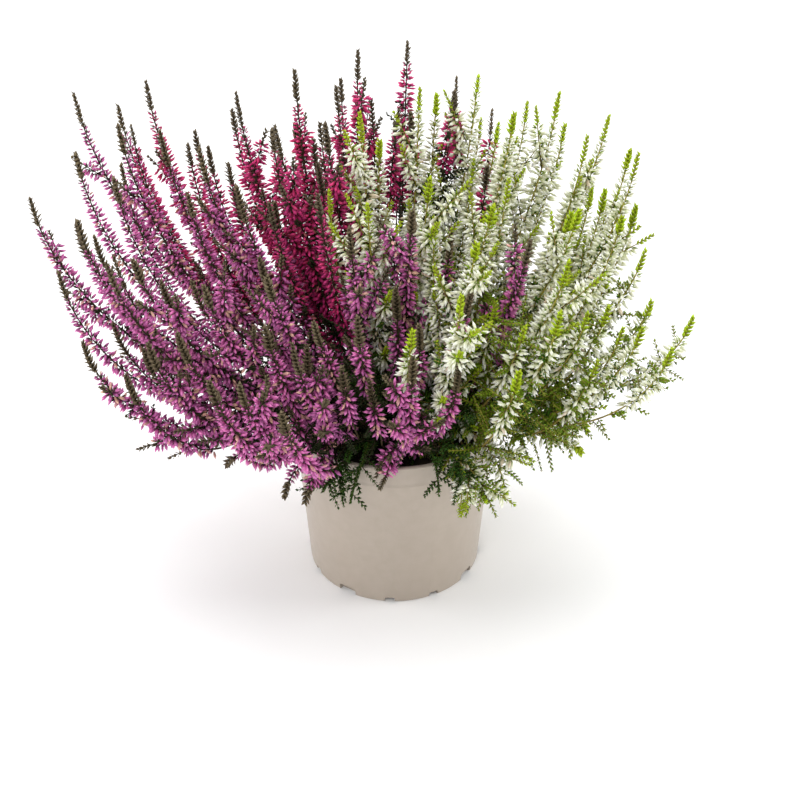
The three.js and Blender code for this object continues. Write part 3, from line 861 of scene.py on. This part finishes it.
def dress_spike(growth, spike):
    look, rng = growth.look, growth.rng
    path = spike_path(spike)
    length = path.length
    main = spike.main is None
    hanging = spike.kind in (HANGING_SPIKE, HANGING_SIDE)
    x, y, z = spike.line[-1]
    leafy = spike.colour == "white" and x > LEAFY_RIGHT and y < LEAFY_BACK and z < LEAFY_BELOW
    first = path.distance_at(flowers_from(spike, leafy and not hanging) - EARLIER)
    usual = path.distance_at(spike.kind.start - EARLIER)
    last = length - look.tip_length * (HANGING_TIP_LENGTH if hanging else rng.uniform(*TIP_LENGTHS))
    radius = MAIN_STEM_RADIUS if main else SIDE_STEM_RADIUS
    growth.add_stem(path, radius, STEM_TIP_RADIUS)
    if spike.colour == "green":
        add_scales(growth, path, first * SHOOT_LEAVES_FROM, length, 0.15, 1.0, 1.2, 40.0)
        twigs = HANGING_SHOOT_TWIGS if z < POT_HEIGHT else SHOOT_TWIGS
        add_leafy_twigs(growth, path, LOWEST_TWIG + 1, SHOOT_TWIGS_TO * length, twigs)
        return
    add_buds(growth, path, first, last)
    add_scales(growth, path, last - 2, length, 1.0, look.tip_width * rng.uniform(*TIP_WIDTHS))
    if leafy:
        twigs = HANGING_LIME_TWIGS if hanging else LIME_TWIGS
        add_leafy_twigs(growth, path, LOWEST_TWIG, LIME_TWIGS_TO * length, twigs)
        if hanging:
            highest = HANGING_SPRAYS_TO * length
            add_short_sprays(growth, path, LOWEST_SPRAY, highest, HANGING_SPRAYS, HANGING_RISE)
    if main and not hanging:
        unflowered = Twigs(int((first - usual) / UNFLOWERED_SPACING), DARK_LEAVES, UNFLOWERED_LONGEST)
        among = first + AMONG_FLORETS_TO * (last - first)
        add_leafy_twigs(growth, path, LOWEST_TWIG, GROUND_END, GROUND_TWIGS)
        add_leafy_twigs(growth, path, LOW_TWIG, usual + ABOVE_START, LOW_TWIGS)
        add_leafy_twigs(growth, path, usual + ABOVE_START, first, unflowered)
        add_leafy_twigs(growth, path, usual + ABOVE_START, among, TWIGS_AMONG_FLORETS)
        if first == usual:
            lowest, highest = SHORT_SPRAYS_FROM * first, first + SHORT_SPRAYS_TO * (last - first)
            add_short_sprays(growth, path, lowest, highest, SHORT_SPRAYS[spike.colour])
        if spike.colour == "mauve" and y < HOLLOW_FRONT and HOLLOW_RIGHT < x < DROOPING_RIGHT:
            add_short_sprays(growth, path, LOW_TWIG, usual, DROOPING_SPRAYS, DROOPING_RISE)


def srgb(red, green, blue):
    """A colour from its values from 0 to 255, in the shaders' linear light."""
    values = (value / 255 for value in (red, green, blue))
    linear = [v / 12.92 if v <= 0.04045 else ((v + 0.055) / 1.055) ** 2.4 for v in values]
    return (*linear, 1.0)


class Nodes:
    """A short way to build a material's nodes."""

    def __init__(self, name, roughness, sheen=0.5):
        self.material = bpy.data.materials.new(name)
        self.material.use_nodes = True
        self.tree = self.material.node_tree
        self.shader = self.tree.nodes["Principled BSDF"]
        self.shader.inputs["Roughness"].default_value = roughness
        self.shader.inputs["Specular IOR Level"].default_value = sheen

    def new(self, kind, **settings):
        node = self.tree.nodes.new(kind)
        for name, value in settings.items():
            setattr(node, name, value)
        return node

    def link(self, source, target):
        self.tree.links.new(source, target)

    def mix(self, share, first, second):
        """A colour between two; each of the three is a value or another node's output."""
        node = self.new("ShaderNodeMix", data_type="RGBA")
        for socket, value in ((node.inputs[0], share), (node.inputs[6], first), (node.inputs[7], second)):
            if hasattr(value, "is_output"):
                self.link(value, socket)
            else:
                socket.default_value = value
        return node.outputs[2]

    def sum(self, first, second):
        node = self.new("ShaderNodeMath", operation="ADD")
        self.link(first, node.inputs[0])
        self.link(second, node.inputs[1])
        return node.outputs[0]

    def spread(self, value, low, high, to_low, to_high):
        """Maps a range of a value to another range."""
        node = self.new("ShaderNodeMapRange")
        self.link(value, node.inputs[0])
        for socket, number in zip(node.inputs[1:5], (low, high, to_low, to_high)):
            socket.default_value = number
        return node.outputs[0]

    def noise(self, scale, detail=3.0):
        """Fine mottling in the object's own space, with the scale in features a metre."""
        where = self.new("ShaderNodeTexCoord")
        node = self.new("ShaderNodeTexNoise")
        node.inputs["Scale"].default_value = scale
        node.inputs["Detail"].default_value = detail
        self.link(where.outputs["Object"], node.inputs["Vector"])
        return node.outputs[0]

    def colour(self, source):
        self.link(source, self.shader.inputs["Base Color"])

    def bump(self, height, distance, strength):
        node = self.new("ShaderNodeBump")
        node.inputs["Distance"].default_value = distance
        node.inputs["Strength"].default_value = strength
        self.link(height, node.inputs["Height"])
        self.link(node.outputs[0], self.shader.inputs["Normal"])


# Leaves and florets have little gloss, so the depth between the spikes stays dark
PLANT_SHEEN = 0.12
PLANT_ROUGHNESS = 0.5

# The darkest and the brightest shade of a colour
SHADES = (0.6, 1.25)
WHITE_SHADES = (0.82, 1.14)

# Colours at the foot and the tip of each floret or leaf, and of young and faded ones. The florets' lighter
# tips are partly their own colour and partly painted highlight
PLANT_COLOURS = {
    "mauve_stem": ((58, 40, 28), (72, 62, 40), (66, 62, 42), (110, 84, 56)),
    "mauve_leaves": ((18, 32, 12), (42, 58, 26), (122, 108, 84), (70, 66, 44)),
    "mauve_florets": ((124, 30, 92), (238, 142, 206), (206, 88, 160), (232, 186, 160)),
    "crimson_stem": ((58, 40, 28), (72, 58, 40), (68, 60, 42), (110, 84, 56)),
    "crimson_leaves": ((18, 30, 12), (42, 56, 28), (116, 104, 84), (72, 66, 46)),
    "crimson_florets": ((132, 4, 50), (234, 64, 138), (230, 96, 152), (200, 130, 120)),
    "white_stem": ((90, 68, 40), (160, 128, 72), (168, 160, 72), (150, 110, 76)),
    "white_leaves": ((20, 50, 10), (62, 110, 26), (184, 208, 40), (120, 134, 56)),
    "white_florets": ((214, 216, 150), (255, 255, 250), (242, 245, 216), (232, 210, 184)),
    "green_stem": ((74, 54, 36), (76, 92, 38), (84, 104, 42), (110, 84, 56)),
    "green_leaves": ((16, 40, 10), (46, 86, 26), (104, 136, 44), (60, 76, 34)),
}
YOUNG_SHARES = {"mauve_florets": 0.35, "crimson_florets": 0.45, "white_florets": 0.45}


def plant_material(name, foot, tip, young, faded, shades=SHADES, young_share=1.0):
    """Colour from foot to tip of each floret or leaf, towards another for young and faded ones."""
    nodes = Nodes(name, PLANT_ROUGHNESS, PLANT_SHEEN)
    facts = nodes.new("ShaderNodeAttribute", attribute_name="growth")
    parts = nodes.new("ShaderNodeSeparateColor")
    nodes.link(facts.outputs["Color"], parts.inputs[0])
    along, tone, fresh = parts.outputs[0], parts.outputs[1], parts.outputs[2]
    # Foot to tip colour; on florets the lighter tip is partly their own colour and partly painted highlight
    colour = nodes.mix(nodes.spread(along, 0.1, 0.8, 0, 1), srgb(*foot), srgb(*tip))
    colour = nodes.mix(nodes.spread(fresh, 0, 1, 0, young_share), colour, srgb(*young))
    colour = nodes.mix(facts.outputs["Alpha"], colour, srgb(*faded))
    mottling = nodes.spread(nodes.noise(700), 0.3, 0.7, -0.5, 0.5)
    shade = nodes.new("ShaderNodeHueSaturation")
    nodes.link(nodes.spread(nodes.sum(tone, mottling), 0, 1, 0.488, 0.512), shade.inputs["Hue"])
    nodes.link(nodes.spread(nodes.sum(tone, mottling), 0, 1, *shades), shade.inputs["Value"])
    nodes.link(colour, shade.inputs["Color"])
    nodes.colour(shade.outputs[0])
    nodes.bump(nodes.noise(2200, 2.0), 0.0002, 0.4)
    return nodes.material


def plant_materials(colour):
    """The stem, leaf and floret materials of one heather, in the order of the slots."""
    materials = []
    for name, colours in PLANT_COLOURS.items():
        if name.startswith(colour):
            shades = WHITE_SHADES if name == "white_florets" else SHADES
            materials.append(plant_material(name, *colours, shades, YOUNG_SHARES.get(name, 1.0)))
    return materials


def dress_plant():
    materials = {colour: plant_materials(colour) for colour in LOOKS}
    stems = rooted_stems()
    spikes = grow_spikes(stems)
    for number, (name, colour, _, _) in enumerate(stems):
        rng = np.random.default_rng(SEED + number)
        tone = 0.5 + 0.2 * (variety(number, 13) - 0.5)
        growth = Growth(f"{name}_fine", materials[colour], LOOKS[colour], tone, rng)
        for spike in spikes:
            if spike.spray == name:
                dress_spike(growth, spike)
        piece = growth.make()
        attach(piece, "root")
        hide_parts(name)


def wall_radius(height):
    share = (height - FOOT_BEVEL) / (POT_HEIGHT - RIM_BAND - FOOT_BEVEL)
    return FOOT_RADIUS + (WALL_TOP_RADIUS - FOOT_RADIUS) * share


def mesh_object(name, corners, faces):
    """An object with a mesh of corners in millimetres."""
    mesh = bpy.data.meshes.new(name)
    mesh.from_pydata([Vector(corner) * MM for corner in corners], [], faces)
    mesh.update()
    return add_object(name, mesh)


def turned(name, profile, segments):
    """A solid of revolution from [radius, height] points that start and end on the axis."""
    angles = 2 * math.pi * np.arange(segments) / segments
    corners = [(0, 0, profile[0][1])]
    for radius, height in profile[1:-1]:
        corners += [(radius * math.sin(a), -radius * math.cos(a), height) for a in angles]
    corners.append((0, 0, profile[-1][1]))
    rings = len(profile) - 2
    faces, end = end_faces(rings, segments)
    for ring in range(rings - 1):
        for s in range(segments):
            a, b = 1 + ring * segments + s, 1 + ring * segments + (s + 1) % segments
            faces.append((a, b, b + segments, a + segments))
    return mesh_object(name, corners, faces + end)


def rounded(corners, radius, steps=3):
    """A profile with its corners rounded, each by its own radius."""
    result = [corners[0]]
    for before, corner, after, size in zip(corners, corners[1:], corners[2:], radius):
        before, corner, after = (np.array(point, dtype=float) for point in (before, corner, after))
        size = min(size, 0.45 * np.linalg.norm(before - corner), 0.45 * np.linalg.norm(after - corner))
        first = corner + unit(before - corner) * size
        last = corner + unit(after - corner) * size
        for step in range(steps + 1):
            t = step / steps
            result.append(tuple((1 - t) ** 2 * first + 2 * t * (1 - t) * corner + t ** 2 * last))
    result.append(corners[-1])
    return result


def pot_profile():
    band_bottom = POT_HEIGHT - RIM_BAND
    band_radius = WALL_TOP_RADIUS + BAND_STEP
    corners = [
        (0, 0),
        (FOOT_RADIUS - FOOT_ROUND, 0),
        (FOOT_RADIUS, FOOT_ROUND),
        (WALL_TOP_RADIUS, band_bottom),
        (band_radius + LIP / 2, band_bottom),
        (band_radius, band_bottom + 2 * LIP),
        (RIM_RADIUS - LIP, POT_HEIGHT - 2 * LIP),
        (RIM_RADIUS, POT_HEIGHT - LIP),
        (RIM_RADIUS - LIP, POT_HEIGHT),
        (RIM_RADIUS - LIP - WALL, POT_HEIGHT),
        (wall_radius(band_bottom) - WALL, band_bottom),
        (wall_radius(FLOOR + WALL) - WALL, FLOOR + WALL),
        (wall_radius(FLOOR) - 2 * WALL, FLOOR),
        (0, FLOOR),
    ]
    radius = [0.4, 0.5, 0.3, 0.3, 0.5, 0.5, 0.4, 0.4, 0.5, 4.0, 1.5, 1.0]
    return rounded(corners, radius)


NOTCH_DEPTH = 8.0
NOTCH_ROUNDING = 0.35
NOTCH_CORNER_STEPS = 5


def notch_outline(width, height):
    """A notch's round-cornered outline, as [across, up] points, from below the foot."""
    corner = NOTCH_ROUNDING * height
    outline = [(-width / 2, -height), (width / 2, -height)]
    for side in (1, -1):
        for step in range(NOTCH_CORNER_STEPS):
            angle = math.pi / 2 * step / (NOTCH_CORNER_STEPS - 1)
            across, up = math.cos(angle), math.sin(angle)
            if side < 0:
                across, up = up, across
            outline.append((side * (width / 2 - corner + corner * across), height - corner + corner * up))
    return outline


def notch_cutters():
    """Round-cornered blocks that cut the notches of the pot's foot."""
    corners, faces = [], []
    for notch in range(NOTCHES):
        wide = notch % WIDE_NOTCH_EVERY == FIRST_WIDE_NOTCH
        outline = notch_outline(*(WIDE_NOTCH if wide else SMALL_NOTCH))
        turn = math.radians(FIRST_NOTCH_DEG + 360 / NOTCHES * notch)
        cos, sin = math.cos(turn), math.sin(turn)
        first = len(corners)
        for reach in (FOOT_RADIUS - NOTCH_DEPTH / 2, FOOT_RADIUS + NOTCH_DEPTH / 2):
            for across, up in outline:
                corners.append((across * cos + reach * sin, across * sin - reach * cos, up))
        count = len(outline)
        faces.append([first + i for i in reversed(range(count))])
        faces.append([first + count + i for i in range(count)])
        for i in range(count):
            j = (i + 1) % count
            faces.append([first + i, first + j, first + count + j, first + count + i])
    return mesh_object("notch_cutters", corners, faces)


def pot_material():
    """Matte moulded plastic: a warm beige with a faint grain and slight scuffs."""
    nodes = Nodes("beige_plastic", 0.46)
    grain = nodes.noise(160, 4.0)
    colour = nodes.mix(nodes.spread(grain, 0.3, 0.7, 0, 1), srgb(172, 160, 146), srgb(178, 166, 153))
    cloud = nodes.noise(14, 2.0)
    colour = nodes.mix(nodes.spread(cloud, 0.35, 0.7, 0, 0.5), colour, srgb(168, 155, 141))
    nodes.colour(colour)
    nodes.link(nodes.spread(nodes.noise(320, 3.0), 0.3, 0.7, 0.32, 0.42), nodes.shader.inputs["Roughness"])
    nodes.bump(nodes.noise(1400, 3.0), 0.0003, 0.12)
    return nodes.material


def dress_pot():
    pot = turned("pot_fine", pot_profile(), POT_SEGMENTS)
    cutter = notch_cutters()
    cut = pot.modifiers.new("notches", "BOOLEAN")
    cut.operation = "DIFFERENCE"
    cut.solver = "EXACT"
    cut.object = cutter
    depsgraph = bpy.context.evaluated_depsgraph_get()
    mesh = bpy.data.meshes.new_from_object(pot.evaluated_get(depsgraph))
    pot.modifiers.clear()
    pot.data = mesh
    bpy.data.objects.remove(cutter)
    mesh.polygons.foreach_set("use_smooth", [True] * len(mesh.polygons))
    mesh.set_sharp_from_angle(angle=SHARP_ANGLE)
    mesh.materials.clear()
    mesh.materials.append(pot_material())
    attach(pot, "root")
    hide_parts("pot")


def soil_material():
    nodes = Nodes("dark_compost", 0.95)
    crumbs = nodes.noise(420, 6.0)
    colour = nodes.mix(nodes.spread(crumbs, 0.3, 0.72, 0, 1), srgb(24, 17, 12), srgb(66, 50, 36))
    nodes.colour(colour)
    nodes.bump(nodes.noise(700, 5.0), 0.002, 0.8)
    return nodes.material


# The top of the compost: how high its lumps are and how wide the large and the small ones
SOIL_RINGS = 26
SOIL_SEGMENTS = 84
SOIL_LUMPS = 1.3
SOIL_LUMP_SIZES = (7, 2.6)
SMALL_LUMP_SHARE = 0.6
CRUMBS = 260
CRUMB_SIZES = (1.2, 3.4)


def soil_height(radius, edge):
    """The compost's top is level in the middle and a little lower at its edge."""
    return SOIL_TOP - (SOIL_TOP - SOIL_EDGE) * np.clip((radius - BASE_CIRCLE) / (edge - BASE_CIRCLE), 0, 1)


def soil_lumps(x, y):
    wide, narrow = SOIL_LUMP_SIZES
    lumps = noise.noise(Vector((x, y, 3)) / wide)
    return SOIL_LUMPS * (lumps + SMALL_LUMP_SHARE * noise.noise(Vector((x, y, 9)) / narrow))


def dress_soil():
    """Crumbly compost: an uneven top on the same block, with larger crumbs lying sunk in it."""
    rng = np.random.default_rng(SEED)
    rings, segments = SOIL_RINGS, SOIL_SEGMENTS
    edge = wall_radius(POT_HEIGHT - RIM_BAND) - WALL - SOIL_GAP
    top = [edge * ring / rings for ring in range(1, rings + 1)]
    levels = [(radius, soil_height(radius, edge)) for radius in top] + [
        (wall_radius(SOIL_EDGE - RIM_BAND) - WALL - SOIL_GAP, SOIL_EDGE - RIM_BAND),
        (wall_radius(2 * FLOOR) - WALL - 2 * SOIL_GAP, 2 * FLOOR),
        (wall_radius(FLOOR) - 2 * WALL - SOIL_GAP, FLOOR + SOIL_GAP),
    ]
    corners = [(0.0, 0.0, SOIL_TOP)]
    for ring, (radius, height) in enumerate(levels, 1):
        turn = 0.5 * (ring % 2) if ring < rings else 0
        for s in range(segments):
            angle = 2 * math.pi * (s + turn) / segments
            x, y = radius * math.cos(angle), radius * math.sin(angle)
            corners.append((x, y, height + (soil_lumps(x, y) if ring < rings else 0)))
    corners.append((0.0, 0.0, FLOOR + SOIL_GAP))
    start, end = end_faces(len(levels), segments)
    faces = np.array(start + tube_faces(1, len(levels), segments) + end)[:, ::-1]
    soil = Growth("soil_fine", [soil_material()])
    soil.add(np.array(corners), faces, 0, np.zeros((len(corners), 4)))
    radius = (edge - 3) * np.sqrt(rng.random(CRUMBS))
    angle = rng.uniform(0, 2 * math.pi, CRUMBS)
    size = rng.uniform(*CRUMB_SIZES, CRUMBS)
    height = soil_height(radius, edge) + 0.1
    origins = np.stack([radius * np.cos(angle), radius * np.sin(angle), height], 1)
    directions = unit(rng.normal(size=(CRUMBS, 3)))
    crumb = spindle(5, [(0.2, 0.42), (0.65, 0.5)])
    any_way = unit(rng.normal(size=(CRUMBS, 3)))
    soil.add_copies(
        crumb, origins - directions * size[:, None] / 2, directions, any_way, size, size, 0, 0.5, 0, 0
    )
    piece = soil.make()
    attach(piece, "root")
    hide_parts("soil")


# The photograph's view: the pitch and the focal length were fitted to the pot's rim and foot
VIEW_DISTANCE = 1.0
VIEW_PITCH = math.radians(34.63)
FOCAL_PIXELS = 1603.3
IMAGE_PIXELS = 800
SENSOR = 36.0
RIM_CENTRE_PIXEL = (394.42, 406.56)


def put(item, location, target):
    """Puts a camera or a light at a place and turns it towards its target."""
    item.location = location
    item.rotation_euler = (Vector(target) - Vector(location)).to_track_quat("-Z", "Y").to_euler()


def add_camera():
    data = bpy.data.cameras.new("camera")
    data.sensor_width = SENSOR
    data.lens = FOCAL_PIXELS / IMAGE_PIXELS * SENSOR
    data.shift_x = (IMAGE_PIXELS / 2 - RIM_CENTRE_PIXEL[0]) / IMAGE_PIXELS
    data.shift_y = (RIM_CENTRE_PIXEL[1] - IMAGE_PIXELS / 2) / IMAGE_PIXELS
    target = Vector((0, 0, POT_HEIGHT * MM))
    back = VIEW_DISTANCE * Vector((0, -math.cos(VIEW_PITCH), math.sin(VIEW_PITCH)))
    camera = add_object("camera", data)
    put(camera, target + back, target)
    bpy.context.scene.camera = camera


def add_area_light(name, location, aim, size, power):
    data = bpy.data.lights.new(name, "AREA")
    data.shape = "DISK"
    data.size = size
    data.energy = power
    put(add_object(name, data), location, aim)


WORLD_LIGHT = 0.66
FLOOR_HALF = 6000
FLOOR_WHITE = 0.96
# Each light's place, what it shines at, its width in metres and its power in watts
LIGHTS = {
    "overhead": ((-0.3, 0.9, 3.2), (0, 0.1, 0), 3.4, 74),
    "key": ((-0.4, -1.5, 1.5), (0, 0, 0.2), 0.6, 8),
    "left": ((-1.5, 0.1, 0.6), (0, 0, 0.12), 0.8, 8),
    "right": ((1.5, 0.1, 0.6), (0, 0, 0.12), 0.8, 10),
}


def add_studio():
    world = bpy.data.worlds.new("studio")
    world.use_nodes = True
    background = world.node_tree.nodes["Background"]
    background.inputs["Color"].default_value = (1, 1, 1, 1)
    background.inputs["Strength"].default_value = WORLD_LIGHT
    bpy.context.scene.world = world
    bpy.context.scene.view_settings.view_transform = "Standard"
    for name, settings in LIGHTS.items():
        add_area_light(name, *settings)
    half = FLOOR_HALF
    corners = [(-half, -half, 0), (half, -half, 0), (half, half, 0), (-half, half, 0)]
    floor = mesh_object("floor", corners, [(0, 1, 2, 3)])
    nodes = Nodes("pale_floor", 0.9)
    nodes.shader.inputs["Base Color"].default_value = (FLOOR_WHITE, FLOOR_WHITE, FLOOR_WHITE, 1)
    floor.data.materials.append(nodes.material)


add_camera()
add_studio()
dress_pot()
dress_soil()
dress_plant()
